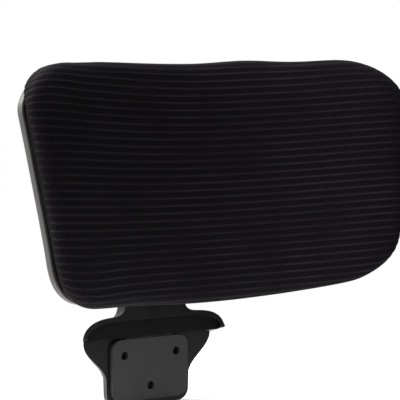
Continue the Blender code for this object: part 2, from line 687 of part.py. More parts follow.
def make_covers(frame, parent):
    """The visible front cover with its wings, and the rear cover over the foot's screws."""
    side = flared_side(COVER_TOP) + [(66, 26.5)]
    near, far = scaled(mirrored(side)), scaled(mirrored(swept_back(side)))
    cover = prism("front_cover", near, COVER_FRONT, POST_BACK, "Y", "dark_plastic", parent, far)
    recess_floor = -3 * MM
    mouth = scaled(mirrored(recess_side(4)))
    cut(cover, prism("recess_tool", mouth, COVER_FRONT - MM, recess_floor, "Y", None, parent))
    hollow = scaled(mirrored([(x - 0.8 * COVER_WALL / MM, z) for x, z in swept_back(recess_side(2))]))
    cut(cover, prism("wing_hollow_tool", hollow, recess_floor + COVER_WALL, 9 * MM, "Y", None, parent))
    high = COVER_TOP + 5
    core = [(-6.4, high), (-6.4, 50.4), (-1.2, 42.6), (-1.2, 18), (9, 18), (9, high)]
    half = 26 * MM
    cut(cover, prism("neck_hollow_tool", scaled(core), -half, half, "X", None, parent))

    rear_front, rear_back = POST_BACK + GAP, FOOT_THICKNESS + 4.4 * MM
    foot_side = bezier((59, 25.2), (59.5, 13), (46, 8), (39, -4), 6)[1:]
    foot_side += [(38.4, -6), (38, -20)] + arc((28, -20), 10, 0, -90, 4)[1:]
    side = swept_back(flared_side(COVER_TOP)) + foot_side
    near, far = scaled(mirrored(side)), scaled(mirrored(drawn_in(side, (rear_back - rear_front) / MM)))
    rear = prism("rear_cover", near, rear_front, rear_back, "Y", "dark_plastic", parent, far)
    inner = [(26, high), (26, 54)]
    inner += bezier((26, 50.5), (26, 44.4), (29.5, 39.4), (36, 38.7), 5)
    inner += bezier((36, 38.7), (45, 38), (54, 36.4), (57, 25.4), 5)
    inner += bezier((57, 25.4), (57.6, 14.5), (44, 9), (37.2, -4), 5)
    inner += [(36.2, -6), (36.2, -20)] + arc((27.4, -18.6), 8.2, -15, -90, 3)
    room_back = FOOT_THICKNESS + 2.6 * MM
    near = scaled(mirrored(drawn_in(inner, -2)))
    far = scaled(mirrored(drawn_in(inner, (room_back - rear_front) / MM)))
    cut(rear, prism("rear_room_tool", near, rear_front - 2 * MM, room_back, "Y", None, parent, far))
    for k, (z, meets) in enumerate(((62, POST_BACK), (2, FOOT_THICKNESS))):
        centre = (0, 0, z * MM)
        sink = rear_back - 1.8 * MM
        join(rear, rod(f"boss_tool_{k}", 3.6 * MM, meets + GAP, rear_back - MM, centre, "Y", parent, 16))
        cut(rear, rod(f"cover_hole_tool_{k}", 1.8 * MM, 0, 20 * MM, centre, "Y", parent, 12))
        cut(rear, rod(f"cover_sink_tool_{k}", 3.1 * MM, sink, 20 * MM, centre, "Y", parent, 16))
        cut(frame, rod(f"cover_thread_tool_{k}", 1.8 * MM, meets - 6 * MM, 20 * MM, centre, "Y", parent, 12))
        name, size = f"cover_screw_{k + 1}", {"head": 2.8 * MM, "height": 1.2 * MM}
        screw(name, centre, sink + GAP, meets - 5.5 * MM, "Y", parent, **size)


# ---------------------------------------------------------------- assembly


def empty(name, location, parent=None):
    made = bpy.data.objects.new(name, None)
    bpy.context.scene.collection.objects.link(made)
    made.location = location
    made.parent = parent
    return made


def main():
    for old in list(bpy.data.objects):
        bpy.data.objects.remove(old)
    base = empty("base", (0, 0, 0))
    slide = empty("height_slide", (0, 0, 0), base)
    tilt = empty("tilt", TILT_AXIS, slide)
    tilt.rotation_euler = (math.pi / 2 - RECLINE, 0, 0)
    pad = empty("pad", PAD_ORIGIN, tilt)
    frame = make_neck(base)
    make_covers(frame, base)
    make_carriage(slide)
    make_pad(pad)
    make_shell(pad)
    make_bracket(pad)


main()
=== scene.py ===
"""The looks of the chair headrest attachment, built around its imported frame."""

import json
import math

import bmesh
import bpy
import numpy as np
from mathutils import Matrix, Vector


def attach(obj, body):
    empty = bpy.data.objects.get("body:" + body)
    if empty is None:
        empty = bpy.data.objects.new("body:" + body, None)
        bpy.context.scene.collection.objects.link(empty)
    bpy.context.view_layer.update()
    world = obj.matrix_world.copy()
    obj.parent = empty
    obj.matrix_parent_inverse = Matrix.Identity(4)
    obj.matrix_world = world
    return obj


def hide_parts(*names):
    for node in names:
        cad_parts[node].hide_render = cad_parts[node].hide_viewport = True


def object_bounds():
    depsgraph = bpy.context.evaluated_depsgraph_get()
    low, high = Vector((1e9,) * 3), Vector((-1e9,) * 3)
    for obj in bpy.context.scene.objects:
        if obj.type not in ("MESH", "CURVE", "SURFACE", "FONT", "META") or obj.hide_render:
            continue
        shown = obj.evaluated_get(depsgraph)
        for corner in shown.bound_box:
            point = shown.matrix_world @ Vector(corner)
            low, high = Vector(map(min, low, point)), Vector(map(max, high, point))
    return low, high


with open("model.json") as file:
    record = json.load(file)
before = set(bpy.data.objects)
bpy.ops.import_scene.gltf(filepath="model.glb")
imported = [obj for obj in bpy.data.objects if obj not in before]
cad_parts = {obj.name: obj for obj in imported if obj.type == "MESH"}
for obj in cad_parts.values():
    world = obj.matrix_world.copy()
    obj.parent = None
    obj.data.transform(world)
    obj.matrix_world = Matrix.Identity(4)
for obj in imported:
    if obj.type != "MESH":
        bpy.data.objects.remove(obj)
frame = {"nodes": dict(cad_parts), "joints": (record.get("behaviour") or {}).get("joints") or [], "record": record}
cad_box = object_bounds()

MM = 0.001

# The pad's shape, as the design has it.
PAD_HEIGHT = 165 * MM
HALF_TOP = 175.5 * MM
HALF_BOTTOM = 146 * MM
TOP_CROWN = 7 * MM
BOTTOM_CROWN = 10 * MM
SIDE_PINCH = 0.019
CONIC_STEPS, STRAIGHT_STEPS = 40, 59  # points along a corner and along half an edge
WRAP_SLOPE = 0.768
WRAP_RADIUS = 154 * MM
TOP_CORNER = (55 * MM, 41 * MM, 0.67)
BOTTOM_CORNER = (33 * MM, 29 * MM, 0.95)
EDGE_RADIUS = 8 * MM
SHELL_DEPTH = 5 * MM
SHELL_WALL = 2.8 * MM
RIM_WALL = 3 * MM
TUCK = 4.5 * MM  # how far the shell draws in under the pad's top edge
TUCK_START, TUCK_RUN = 45 * MM, 23 * MM
LOW_TUCK = 2 * MM  # and under its bottom edge
LOW_START, LOW_RUN = 66 * MM, 18 * MM
RECLINE = math.radians(9.4)
PAD_ORIGIN = Vector((0, -6 * MM, 35 * MM))  # from the tilt axis, in the pad's directions

# How fine the pad's meshes are: columns across and rows down.
COVER_GRID, FOAM_GRID, SHELL_GRID = (130, 230), (60, 40), (150, 100)
SETTLING = 5  # how soon a grid's rows run level, away from the top and bottom edges

# The fabric.
RIB_PITCH = 5.5 * MM
RIB_HEIGHT = 0.5 * MM
RIB_WIDTH = 0.38  # as a share of the pitch
CELL_WIDTH, CELL_LEAN, STRAND = 1.9 * MM, 2.2 * MM, 0.7 * MM  # the knit between the ribs
GROUND, HOLE = (0.0128, 0.0108, 0.0136, 1), (0.0014, 0.001, 0.0016, 1)
DARK_CORD, LIGHT_CORD = (0.0108, 0.009, 0.0115, 1), (0.025, 0.0213, 0.0266, 1)
EDGE_FALL, EDGE_RUN = 3.2 * MM, 17 * MM  # how the pad's face softens towards its edge
FABRIC = 1.2 * MM  # its thickness
WRAP_END = -55  # where its hem is, in degrees behind the pad's edge
WRAP_BACK, WRAP_CURL = 1.6 * MM, 3 * MM  # how far it goes back round the shell at the top
CURL_FROM = 0.7  # the share of the way back where it starts to curl in
RIBS_FOLLOW = 0.65  # how much the ribs move with the swells

# Where the fabric swells, in millimetres: place along the edge, reach and lift.
TOP_SWELLS = ((-122, 24, -1.8), (50, 32, 2.6), (120, 28, 1.9), (150, 14, 0.6))
BOTTOM_SWELLS = ((-104, 26, -2.2), (138, 18, 1.5))
RIGHT_SWELL = (-38, 40, 5.5)
# And the left corners: place across and up, reach, and the moves across and up.
LEFT_CORNERS = ((-128, -70, 23, -2.2, -5.0), (-152, 58, 22, -0.9, 0.7))

# The foam: its gap from the fabric, where its edge ends, and its flat back.
SEAM, FOAM_END = 0.3 * MM, -50
FOAM_INSET, FOAM_STEP, FOAM_BACK = 11.5 * MM, 2.4 * MM, 0.9 * MM

# The shell's rim from the inside over its front to the outside: inset and height.
RIM = (
    (RIM_WALL, -0.5 * MM),
    (RIM_WALL - 0.15 * MM, -0.15 * MM),
    (RIM_WALL - 0.5 * MM, 0),
    (0.6 * MM, 0),
    (0.18 * MM, -0.18 * MM),
    (0, -0.6 * MM),
)
SHELL_EDGE = 2.2 * MM  # its back edge's radius
CORNER_SCREWS = ((132 * MM, 52 * MM), (112 * MM, -55 * MM))
MIDDLE_SCREW = 62 * MM
PLUG_RADIUS, PLUG_LENGTH = 3.4 * MM, 3.3 * MM  # the tools that cut the screws' recesses
PLUG_START = 0.4  # how far behind the shell they start, as a share of its depth

# The seat for the bracket on the shell's back: half sizes, corner, flank and face.
BOSS, BOSS_CORNER, BOSS_FLANK = (26 * MM, 18.5 * MM), 6 * MM, 5 * MM
BOSS_MIDDLE, BOSS_FACE = 6 * MM, -9 * MM

# The neck's covers, in millimetres: front, back and edge radius of each.
FRONT_COVER = (-8.3, 4.0, 1.1)
REAR_COVER = (4.3, 12.4, 2.2)
REAR_WALL = 1.8
COVER_STEPS = 7  # sections along each part of the front cover
NECK_HALF, NECK_TOP, NECK_CORNER = 27.8, 84, 3
WING_TIP = 66
WING_DRAW, WING_DROP = 7, 4.8  # how far the wing draws in and drops towards the rail
MOUTH_DROP, HOLLOW_DROP = 4, 2  # how far the recess and the hollow behind it are below the wing
RECESS_FLOOR = -3
HOLLOW_WALL, HOLLOW_FRONT, HOLLOW_BACK = 1.4, -1.2, 9
CORE_HALF = 26  # the room for the neck inside the front cover, and its outline from the side
CORE_SIDE = ((-6.4, 89), (-6.4, 50.4), (HOLLOW_FRONT, 42.6), (HOLLOW_FRONT, 18), (9, 18), (9, 89))
COVER_SCREWS = ((62, 4), (2, 8))  # height, and where the screw's boss meets the foot
BOSS_RADIUS, HOLE_RADIUS, SINK_RADIUS = 3.6, 1.8, 3.1

# Where the front cover's recess is painted darker, as painted shade: over these depths, heights and slopes.
DARK_DEPTH, DARK_HEIGHT, DARK_SLOPE = (-4.2 * MM, -3.4 * MM), (44 * MM, 42 * MM), (-0.85, -0.97)

# The finishes: colour and roughness, and what differs from the usual plastic.
PLASTICS = {
    "dark_plastic": {"colour": (0.0045, 0.0041, 0.0048), "roughness": 0.3, "wear": 0.2, "shine": 0.25},
    "grey_plastic": {"colour": (0.12, 0.115, 0.11), "roughness": 0.38, "wear": 0.4},
    "structural_plastic": {"colour": (0.022, 0.022, 0.023), "roughness": 0.5},
    "board_plastic": {"colour": (0.03, 0.03, 0.031), "roughness": 0.6},
    "acetal": {"colour": (0.6, 0.6, 0.56), "roughness": 0.35, "grain": 0.2},
    "bracket_steel": {"colour": (0.02, 0.02, 0.021), "roughness": 0.5, "grain": 0.9, "wear": 0.5},
}
METALS = {
    "zinc_steel": ((0.62, 0.63, 0.65), 0.3),
    "spring_steel": ((0.4, 0.4, 0.42), 0.28),
    "screw_steel": ((0.06, 0.06, 0.065), 0.35),
}
GRAIN_SCALE, GRAIN_DEPTH = 2700, 0.06 * MM
DRAWN_SCALE, DRAWN_DEPTH = (30, 900, 900), 0.03 * MM

# Edges: the widths that round them, and the angles past which they are rounded or stay crisp.
FRONT_EASE, REAR_EASE, CAD_EASE, SMALL_EASE = 0.7 * MM, 0.4 * MM, 0.5 * MM, 0.15 * MM
SHELL_CRISP, COVER_CRISP, CAD_CRISP = math.radians(40), math.radians(45), math.radians(50)
WELD_GAP = 1e-5

# The CAD nodes that have a piece of their own here.
REMADE = ("rear_shell", "mesh_cover", "foam_pad", "front_cover", "rear_cover")

# The camera, from the pad's origin.
VIEW_AZIMUTH, VIEW_ELEVATION = math.radians(-32.16), math.radians(4.25)
VIEW_DISTANCE = 1.2
VIEW_TARGET = (4.2 * MM, -14.3 * MM)
LENS, SENSOR = 141.4, 36

# The light: a room that is dim in front of the object and bright behind it, and three lamps.
ROOM_FRONT, ROOM_BACK = 0.07, 1.0
ROOM_FADE = (-0.35, 0.45)
BRIGHT_WAY = (-0.5, 0.86, 0)
LAMPS = (  # name, place, width and power
    ("key", (-2.1, -1.4, 1.2), 1.2, 29),
    ("side", (-1.3, 0.7, 1.9), 1.0, 34),
    ("top", (0.1, 0.1, 2.3), 1.8, 26),
)
FLOOR_RADIUS, FLOOR_SIDES, FLOOR_GLOW = 0.34, 96, 0.3

TILT = next(j for j in frame["joints"] if j["name"] == "head_tilt")
TILT_AXIS = Vector(TILT["pos_m"])
PAD_TO_WORLD = (
    Matrix.Translation(TILT_AXIS)
    @ Matrix.Rotation(math.pi / 2 - RECLINE, 4, "X")
    @ Matrix.Translation(PAD_ORIGIN)
)


# ---------------------------------------------------------------- pad surface


def conic(start, corner, end, fullness):
    t = np.linspace(0, 1, CONIC_STEPS)[:, None]
    a, b, c = (1 - t) ** 2, 2 * t * (1 - t) * fullness, t * t
    return (a * start + b * corner + c * end) / (a + b + c)


def half_outline():
    """The right half of the pad's outline in its flat pattern: top edge, side and bottom edge,
    which part at the middles of the corners."""
    half = PAD_HEIGHT / 2
    top, bottom = np.array([HALF_TOP, half]), np.array([HALF_BOTTOM, -half])
    side = (bottom - top) / np.linalg.norm(bottom - top)
    run, drop, fullness = TOP_CORNER
    upper = conic(top - [run, 0], top, top + side * drop, fullness)
    run, rise, fullness = BOTTOM_CORNER
    lower = conic(bottom - side * rise, bottom, bottom - [run, 0], fullness)
    share = np.linspace(0, 1, STRAIGHT_STEPS, endpoint=False)
    first = np.column_stack([upper[0, 0] * share, np.full(STRAIGHT_STEPS, half)])
    last = np.column_stack([lower[-1, 0] * share[::-1], np.full(STRAIGHT_STEPS, -half)])
    middle = len(upper) // 2
    parts = (
        np.vstack([first, upper[: middle + 1]]),
        np.vstack([upper[middle:], lower[: middle + 1]]),
        np.vstack([lower[middle:], last]),
    )
    return [bowed(part) for part in parts]


def bowed(points):
    """The outline's gentle bow: crowned top and bottom, sides pinched at mid height."""
    x, y = points.T
    height = np.clip(y / PAD_HEIGHT + 0.5, 0, 1)
    y = y + TOP_CROWN * (1 - (x / HALF_TOP) ** 2) * height**2
    y = y - BOTTOM_CROWN * (1 - (x / HALF_BOTTOM) ** 2) * (1 - height) ** 2
    return np.column_stack([x * (1 - SIDE_PINCH * 4 * height * (1 - height)), y])


def spread(points, axis, count):
    """Resamples a curve at even steps of one coordinate."""
    values = np.linspace(points[0, axis], points[-1, axis], count)
    order = slice(None) if points[-1, axis] > points[0, axis] else slice(None, None, -1)
    other = np.interp(values, points[order, axis], points[order, 1 - axis])
    return np.column_stack([values, other] if axis == 0 else [other, values])


def pad_loop(columns, rows):
    """The outline as a closed loop: columns steps along the top, rows down each side."""
    top, side, bottom = half_outline()
    top = spread(top, 0, columns // 2 + 1)
    side = spread(side, 1, rows + 1)
    bottom = spread(bottom, 0, columns // 2 + 1)
    right = np.vstack([top, side[1:], bottom[1:]])
    left = (right * (-1, 1))[::-1]
    return np.vstack([right, left[1:-1]])


def outward(loop):
    """The loop's outward directions."""
    along = np.roll(loop, -1, 0) - np.roll(loop, 1, 0)
    along /= np.linalg.norm(along, axis=1)[:, None]
    return np.column_stack([-along[:, 1], along[:, 0]])


def lifted(flat, out):
    """Points of the flat pattern, bent round the head and moved out of the face."""
    x, y = flat[:, 0], flat[:, 1]
    root = np.hypot(x, WRAP_RADIUS)
    slope = WRAP_SLOPE * x / root
    unit = np.hypot(1, slope)
    z = WRAP_SLOPE * (root - WRAP_RADIUS)
    return np.column_stack([x - out * slope / unit, y, z + out / unit])


def smooth(share):
    share = np.clip(share, 0, 1)
    return share**2 * (3 - 2 * share)


def tuck_share(loop):
    """How much of the top's tuck there is along the outline: none at the sides."""
    return smooth((loop[:, 1] - TUCK_START) / TUCK_RUN)


def shell_tuck(loop):
    """How far in the shell's edge is along the outline."""
    return TUCK * tuck_share(loop) + LOW_TUCK * smooth((-loop[:, 1] - LOW_START) / LOW_RUN)


class PadMesh:
    """Gathers rings of the pad's outline and the faces between them."""

    def __init__(self, columns, rows):
        loop = pad_loop(columns, rows)
        self.loop = np.roll(loop, columns // 2, 0)  # starts at the upper left corner
        self.columns, self.rows = columns, rows
        self.normal = outward(self.loop)
        self.count = len(self.loop)
        self.flat, self.out, self.cloth, self.faces = [], [], [], []
        self.rings = {}

    def total(self):
        return sum(map(len, self.flat))

    def moved_in(self, inset):
        """The outline, moved in by one inset or by one for each point."""
        return self.loop - self.normal * np.broadcast_to(inset, self.count)[:, None]

    def ring(self, inset, out, along=0.0, tucked=False):
        """A ring at an inset and a height; along is how far past it the cloth has run."""
        start = self.total()
        self.rings[start] = self.moved_in(inset + shell_tuck(self.loop) * tucked)
        self.flat.append(self.rings[start])
        self.out.append(np.ones(self.count) * out)
        self.cloth.append(self.moved_in(inset - along))
        return start

    def band(self, one, two):
        for k in range(self.count):
            after = (k + 1) % self.count
            self.faces.append((one + k, one + after, two + after, two + k))

    def bands(self, rings):
        for one, two in zip(rings, rings[1:]):
            self.band(one, two)

    def cap(self, start, out):
        """Fills a ring with a grid, whose rows are level except near the top and bottom."""
        ring = self.rings[start]
        columns, rows = self.columns, self.rows
        index = np.arange(self.count)
        top, right = index[: columns + 1], index[columns : columns + rows + 1]
        bottom = index[columns + rows : 2 * columns + rows + 1][::-1]
        left = np.append(index[2 * columns + rows :], 0)[::-1]
        across = np.linspace(0, 1, columns + 1)[None, :]
        down = np.linspace(0, 1, rows + 1)[:, None]
        level = ring[left, 1][:, None]
        y = level + (1 - down) ** SETTLING * (ring[top, 1] - level[0])
        y = y + down**SETTLING * (ring[bottom, 1] - level[-1])
        x = (1 - down) * ring[top, 0] + down * ring[bottom, 0]
        leftmost, rightmost = x[:, :1], x[:, -1:]
        x = x + (1 - across) ** SETTLING * (ring[left, 0][:, None] - leftmost)
        x = x + across**SETTLING * (ring[right, 0][:, None] - rightmost)
        inner = np.column_stack([x[1:-1, 1:-1].ravel(), y[1:-1, 1:-1].ravel()])
        grid = np.zeros((rows + 1, columns + 1), int)
        grid[0], grid[-1] = start + top, start + bottom
        grid[:, 0], grid[:, -1] = start + left, start + right
        grid[1:-1, 1:-1] = self.total() + np.arange(len(inner)).reshape(rows - 1, columns - 1)
        self.flat.append(inner)
        self.out.append(np.full(len(inner), out))
        self.cloth.append(inner)
        corners = (grid[:-1, :-1], grid[:-1, 1:], grid[1:, 1:], grid[1:, :-1])
        self.faces.extend(zip(*(c.ravel().tolist() for c in corners)))

    def arrays(self):
        return np.vstack(self.flat), np.concatenate(self.out), np.vstack(self.cloth)


def mesh_piece(name, points, faces, attribute=None):
    """A mesh object with its faces turned out, shaded smooth."""
    data = bpy.data.meshes.new(name)
    data.from_pydata(points.tolist(), [], faces)
    if attribute is not None:
        values = np.column_stack([attribute, np.zeros(len(attribute))]).astype(np.float32)
        layer = data.attributes.new("cloth", "FLOAT_VECTOR", "POINT")
        layer.data.foreach_set("vector", values.ravel())
    work = bmesh.new()
    work.from_mesh(data)
    bmesh.ops.recalc_face_normals(work, faces=work.faces)
    work.to_mesh(data)
    work.free()
    data.shade_smooth()
    piece = bpy.data.objects.new(name, data)
    bpy.context.scene.collection.objects.link(piece)
    return piece


def in_world(points):
    matrix = np.array(PAD_TO_WORLD)
    return points @ matrix[:3, :3].T + matrix[:3, 3]


def vertex_normals(points, faces):
    """Mean directions at each point, of the four-sided faces that meet there."""
    normal = np.zeros_like(points)
    quads = np.array(faces)
    a, b, c, d = (points[quads[:, k]] for k in range(4))
    across = np.cross(c - a, d - b)
    for k in range(4):
        np.add.at(normal, quads[:, k], across)
    length = np.linalg.norm(normal, axis=1)
    length[length == 0] = 1
    return normal / length[:, None]


# ---------------------------------------------------------------- materials


class Shader:
    """A material made of nodes, with short ways to add and join them."""

    def __init__(self, name, **sockets):
        self.material = bpy.data.materials.new(name)
        self.material.use_nodes = True
        self.tree = self.material.node_tree
        self.main = self.tree.nodes["Principled BSDF"]
        for socket, value in sockets.items():
            self.main.inputs[socket.replace("_", " ")].default_value = value

    def node(self, kind, inputs=None, **settings):
        made = self.tree.nodes.new("ShaderNode" + kind)
        for key, value in settings.items():
            setattr(made, key, value)
        for key, value in (inputs or {}).items():
            if isinstance(value, bpy.types.NodeSocket):
                self.tree.links.new(value, made.inputs[key])
            else:
                made.inputs[key].default_value = value
        return made

    def math(self, operation, a, b=0.0, c=0.0):
        return self.node("Math", {0: a, 1: b, 2: c}, operation=operation).outputs[0]

    def ramp(self, value, low, high, to_low=0.0, to_high=1.0):
        inputs = {"Value": value, "From Min": low, "From Max": high}
        inputs.update({"To Min": to_low, "To Max": to_high})
        return self.node("MapRange", inputs).outputs[0]

    def off_middle(self, value, repeat):
        """How far a value is from the middle of its repeat, 0 to 0.5."""
        part = self.math("FRACT", self.math("DIVIDE", value, repeat))
        return self.math("ABSOLUTE", self.math("SUBTRACT", part, 0.5))

    def mix(self, share, one, two):
        made = self.node("Mix", {0: share, 6: one, 7: two}, data_type="RGBA")
        return made.outputs[2]

    def noise(self, scale, detail=2.0, vector=None):
        inputs = {"Scale": scale, "Detail": detail}
        inputs["Vector"] = vector or self.place()
        return self.node("TexNoise", inputs).outputs["Fac"]

    def place(self):
        return self.node("TexCoord").outputs["Object"]

    def colour(self, value):
        self.tree.links.new(value, self.main.inputs["Base Color"])

    def roughness(self, value):
        self.tree.links.new(value, self.main.inputs["Roughness"])

    def bump(self, height, distance, strength=1.0):
        made = self.node("Bump", {"Height": height, "Distance": distance, "Strength": strength})
        self.tree.links.new(made.outputs[0], self.main.inputs["Normal"])


def fabric_material():
    """Ribbed spacer mesh: fine cords across, with rows of small knitted cells between them."""
    shader = Shader("ribbed_mesh", Specular_IOR_Level=0.1, Sheen_Weight=0.02)
    shader.main.inputs["Sheen Roughness"].default_value = 0.4
    cloth = shader.node("Attribute", attribute_name="cloth").outputs["Vector"]
    parts = shader.node("SeparateXYZ", {0: cloth})
    x, y = parts.outputs[0], parts.outputs[1]
    from_rib = shader.off_middle(y, RIB_PITCH)
    rib = shader.ramp(from_rib, 0.15, 0.05)
    turn = shader.off_middle(y, 2 * RIB_PITCH)
    leaning = shader.math("ADD", x, shader.math("MULTIPLY", turn, CELL_LEAN))
    wide = shader.off_middle(leaning, CELL_WIDTH)
    hole = shader.math("MULTIPLY", shader.ramp(wide, 0.38, 0.16), shader.ramp(from_rib, 0.1, 0.24))
    open_mesh = shader.math("MULTIPLY", hole, shader.math("SUBTRACT", 1.0, rib))
    uneven = shader.ramp(shader.noise(28, 4), 0.34, 0.66)
    ground = shader.mix(open_mesh, GROUND, HOLE)
    cord = shader.mix(uneven, DARK_CORD, LIGHT_CORD)
    shader.colour(shader.mix(rib, ground, cord))
    shader.roughness(shader.ramp(rib, 0, 1, 0.8, 0.62))
    slanting = shader.math("ADD", x, y)
    strands = shader.math("SINE", shader.math("MULTIPLY", slanting, 2 * math.pi / STRAND))
    relief = shader.math("SUBTRACT", shader.math("MULTIPLY", strands, 0.1), open_mesh)
    shader.bump(relief, 0.22 * MM, 0.7)
    return shader.material


def painted_shade_share(shader):
    """Where the front cover's recess gets painted shade: its floor, which faces forwards under the wings."""
    place = shader.node("SeparateXYZ", {0: shader.place()}).outputs
    normal = shader.node("SeparateXYZ", {0: shader.node("NewGeometry").outputs["Normal"]}).outputs
    deep = shader.ramp(place[1], *DARK_DEPTH)
    low = shader.ramp(place[2], *DARK_HEIGHT)
    forwards = shader.ramp(normal[1], *DARK_SLOPE)
    return shader.math("MULTIPLY", shader.math("MULTIPLY", deep, low), forwards)


def tinted(colour, factor, lift=0.0):
    """A colour made darker or lighter, with its alpha."""
    return (*(min(1, c * factor + lift) for c in colour), 1)


def plastic(name, colour, roughness, grain=0.5, wear=0.0, shine=0.5, recess=False):
    """Moulded plastic: a fine spark-eroded grain, faint blotches and paler edges; with recess set, painted shade
    in the front cover's recess.
    """
    shader = Shader(name, Specular_IOR_Level=shine)
    tone = shader.mix(shader.noise(35, 4), tinted(colour, 0.86), tinted(colour, 1.14))
    if wear:
        edge = shader.node("NewGeometry").outputs["Pointiness"]
        worn = shader.math("MULTIPLY", shader.ramp(edge, 0.52, 0.6), wear)
        tone = shader.mix(worn, tone, tinted(colour, 1.7, 0.01))
    rough = shader.ramp(shader.noise(60, 4), 0.3, 0.7, roughness - 0.05, roughness + 0.06)
    if recess:
        # Painted shade: the recess floor is darkened in colour, and its roughness is also raised.
        painted_shade = painted_shade_share(shader)
        tone = shader.mix(painted_shade, tone, tinted(colour, 0.2))
        rough = shader.math("ADD", rough, shader.math("MULTIPLY", painted_shade, 0.5))
    shader.colour(tone)
    shader.roughness(rough)
    shader.bump(shader.noise(GRAIN_SCALE, 3), GRAIN_DEPTH, grain)
    return shader.material


def metal(name, colour, roughness):
    """Plated or oiled steel, with fine drawn lines and small stains."""
    shader = Shader(name, Metallic=1.0)
    drawn = shader.node("Mapping", {"Vector": shader.place(), "Scale": DRAWN_SCALE}).outputs[0]
    lines = shader.noise(3, 3, drawn)
    shader.colour(shader.mix(shader.noise(160, 4), tinted(colour, 0.75), tinted(colour, 1)))
    shader.roughness(shader.ramp(lines, 0.3, 0.7, roughness - 0.06, roughness + 0.12))
    shader.bump(lines, DRAWN_DEPTH, 0.3)
    return shader.material


def foam_material():
    shader = Shader("foam", Roughness=0.95, Specular_IOR_Level=0.1)
    cells = shader.node("TexVoronoi", {"Vector": shader.place(), "Scale": 900}).outputs["Distance"]
    shader.colour(shader.mix(cells, (0.03, 0.03, 0.033, 1), (0.09, 0.09, 0.095, 1)))
    shader.bump(cells, 0.3 * MM, 0.8)
    return shader.material


def paint(piece, material):
    piece.data.materials.clear()
    piece.data.materials.append(material)


# ---------------------------------------------------------------- pieces


def rib_profile(y):
    """The cords' height at a place down the cloth: narrow rounded ridges."""
    phase = np.abs((y / RIB_PITCH) % 1 - 0.5)
    return RIB_HEIGHT * smooth(1 - phase / (RIB_WIDTH / 2))


def soften(flat, out, loop):
    """Lowers the face near the outline, so that the pad's edge is full and soft."""
    start, end = loop, np.roll(loop, -1, 0)
    along = end - start
    length2 = (along**2).sum(1)
    away = np.full(len(flat), np.inf)
    for k in range(len(loop)):
        share = np.clip(((flat - start[k]) @ along[k]) / length2[k], 0, 1)
        gap = flat - start[k] - share[:, None] * along[k]
        away = np.minimum(away, (gap**2).sum(1))
    fall = EDGE_FALL * np.exp(-away / EDGE_RUN**2)
    return out - fall * np.clip(out / (2 * EDGE_RADIUS), 0, 1)


def wrapped_edge(pad, steps, thickness=0.0):
    """Rings of a skin round the pad's edge, down to the hem, which is further back at the top."""
    radius = EDGE_RADIUS - thickness
    share = tuck_share(pad.loop)
    rings = []
    for a in np.radians(np.linspace(90, WRAP_END, steps)):
        inset, out = EDGE_RADIUS - radius * math.cos(a), EDGE_RADIUS + radius * math.sin(a)
        run = radius * (math.pi / 2 - a)
        if a < 0:
            back = a / math.radians(WRAP_END)
            curl = min(1, max(0, back - CURL_FROM) / (1 - CURL_FROM))
            tuck_inset = thickness + WRAP_CURL * (1 - math.sqrt(1 - curl * curl))
            tuck_out = EDGE_RADIUS - (EDGE_RADIUS + WRAP_BACK) * back
            inset = inset * (1 - share) + tuck_inset * share
            out = out * (1 - share) + tuck_out * share
        rings.append(pad.ring(inset, out, run - EDGE_RADIUS + inset))
    return rings


def settled(flat):
    """The pad's left corners, which sit a little further out than the right ones."""
    moved = flat.copy()
    for x, y, reach, across, up in np.array(LEFT_CORNERS) * MM:
        share = np.exp(-((flat[:, 0] - x) ** 2 + (flat[:, 1] - y) ** 2) / reach**2)
        moved += share[:, None] * (across, up)
    return moved


def unevenness(flat):
    """Where the fabric sits a little off the pad's true outline, as it was pulled on."""
    x, y = flat[:, 0] / MM, flat[:, 1] / MM
    half = PAD_HEIGHT / 2 / MM
    rise = np.zeros(len(flat))
    for swells, level in ((TOP_SWELLS, y), (BOTTOM_SWELLS, -y)):
        for place, reach, lift in swells:
            rise += np.clip(level / half, 0, 1) ** 2 * lift * np.exp(-(((x - place) / reach) ** 2))
    place, reach, push = RIGHT_SWELL
    side = np.clip(x * MM / HALF_BOTTOM, 0, 1) ** 3 * push * np.exp(-(((y - place) / reach) ** 2))
    return settled(flat) + np.column_stack([side, rise]) * MM


def make_cover():
    """The fabric: a skin that rolls over the pad's edge and ends in a hem behind it."""
    pad = PadMesh(*COVER_GRID)
    outer = wrapped_edge(pad, 24)
    inner = wrapped_edge(pad, 8, FABRIC)[::-1]
    pad.bands(outer + inner)
    outer_count = len(outer) * pad.count
    pad.cap(inner[-1], 2 * EDGE_RADIUS - FABRIC)
    inner_end = pad.total()
    pad.cap(outer[0], 2 * EDGE_RADIUS)
    flat, out, cloth = pad.arrays()
    shown = np.ones(len(flat), bool)
    shown[outer_count:inner_end] = False

    moved = unevenness(flat)
    cloth = cloth + RIBS_FOLLOW * (moved - flat)
    points = lifted(moved, soften(flat, out, pad.loop))
    normal = vertex_normals(points, pad.faces)
    facing = np.sign(normal[-1, 2])
    points = points + normal * facing * (rib_profile(cloth[:, 1]) * shown)[:, None]
    cover = mesh_piece("fabric_cover", in_world(points), pad.faces, cloth)
    paint(cover, fabric_material())
    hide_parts("mesh_cover")
    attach(cover, "head")


def make_foam():
    """The foam, which fills the fabric."""
    pad = PadMesh(*FOAM_GRID)
    radius = EDGE_RADIUS - FABRIC - SEAM
    rings = []
    for a in np.radians(np.linspace(90, FOAM_END, 14)):
        inset, out = EDGE_RADIUS - radius * math.cos(a), EDGE_RADIUS + radius * math.sin(a)
        rings.append(pad.ring(inset, out))
    rings.append(pad.ring(FOAM_INSET, FOAM_STEP))
    rings.append(pad.ring(FOAM_INSET, FOAM_BACK))
    pad.bands(rings)
    pad.cap(rings[0], EDGE_RADIUS + radius)
    pad.cap(rings[-1], FOAM_BACK)
    flat, out, _ = pad.arrays()
    points = lifted(unevenness(flat), soften(flat, out, pad.loop))
    foam = mesh_piece("foam_core", in_world(points), pad.faces)
    paint(foam, foam_material())
    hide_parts("foam_pad")
    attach(foam, "head")


